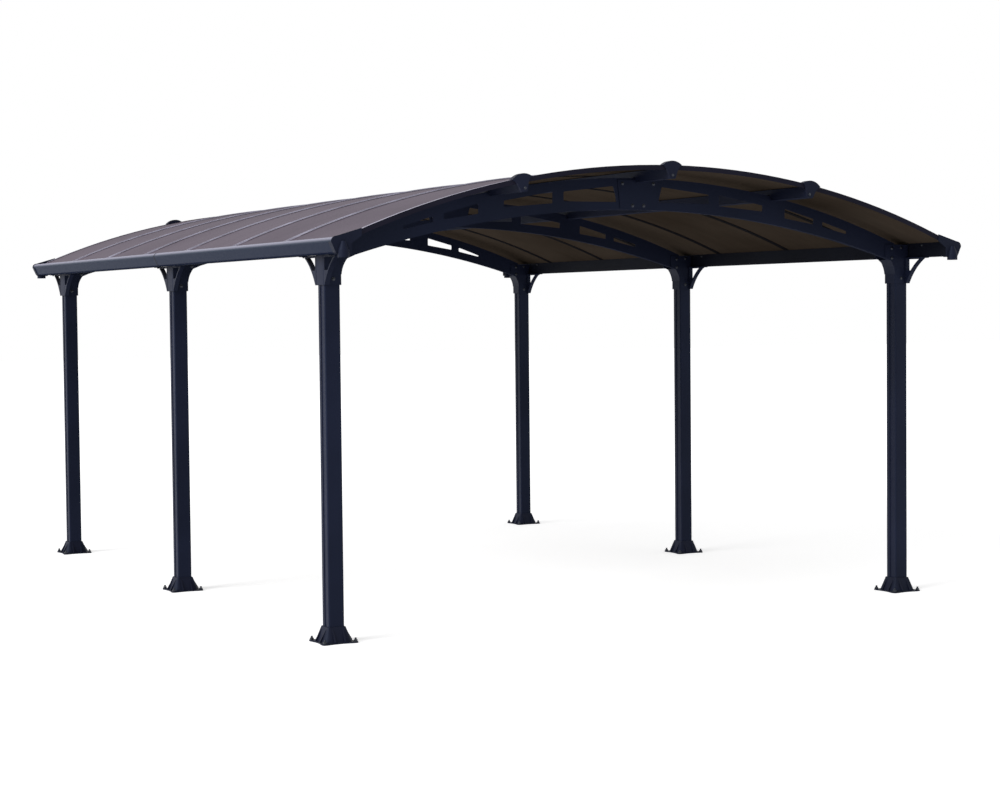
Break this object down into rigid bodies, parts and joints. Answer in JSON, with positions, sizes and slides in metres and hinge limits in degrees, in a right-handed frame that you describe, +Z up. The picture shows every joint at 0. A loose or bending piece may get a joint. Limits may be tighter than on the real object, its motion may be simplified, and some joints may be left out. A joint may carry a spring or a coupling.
{
  "type": "carport",
  "caption": "Free-standing carport: posts on flared feet carry arched trusses, purlins, side gutters and a curved roof of bent sheets.",
  "frame": {"origin": "on the ground in the middle of the plan", "axes": "+Z up, +Y from the front of the carport to its back along its length, +X to the right seen from the front"},
  "size_m": [3.6658, 5.0844, 2.2963],
  "materials": {
    "frame_metal": "dark blue-grey powder coat, satin, fine orange peel",
    "gutter_metal": "dark blue-grey powder coat, satin",
    "casting": "dark blue-grey coated casting, slightly rough",
    "roof_profile": "dark blue-grey powder coat, satin",
    "roof_sheet": "bronze-tinted twin-wall sheet, fine lengthways flutes, low gloss"
  },
  "bodies": {
    "root": {"foot_left_back": "casting", "foot_left_front": "casting", "foot_left_middle": "casting", "foot_right_back": "casting", "foot_right_front": "casting", "foot_right_middle": "casting", "gutter_caps_back": "gutter_metal", "gutter_caps_front": "gutter_metal", "gutter_left_back": "gutter_metal", "gutter_left_front": "gutter_metal", "gutter_right_back": "gutter_metal", "gutter_right_front": "gutter_metal", "post_head_left_back": "frame_metal", "post_head_left_front": "frame_metal", "post_head_left_middle": "frame_metal", "post_head_right_back": "frame_metal", "post_head_right_front": "frame_metal", "post_head_right_middle": "frame_metal", "post_left_back": "frame_metal", "post_left_front": "frame_metal", "post_left_middle": "frame_metal", "post_right_back": "frame_metal", "post_right_front": "frame_metal", "post_right_middle": "frame_metal", "purlin_caps_back": "casting", "purlin_caps_front": "casting", "purlin_left": "frame_metal", "purlin_ridge": "frame_metal", "purlin_right": "frame_metal", "roof_edge_profiles": "roof_profile", "roof_ribs": "roof_profile", "roof_sheet_1": "roof_sheet", "roof_sheet_2": "roof_sheet", "roof_sheet_3": "roof_sheet", "roof_sheet_4": "roof_sheet", "roof_sheet_5": "roof_sheet", "roof_sheet_6": "roof_sheet", "roof_sheet_7": "roof_sheet", "truss_left_back": "frame_metal", "truss_left_front": "frame_metal", "truss_left_middle": "frame_metal", "truss_right_back": "frame_metal", "truss_right_front": "frame_metal", "truss_right_middle": "frame_metal", "truss_splices": "frame_metal"}
  },
  "joints": []
}
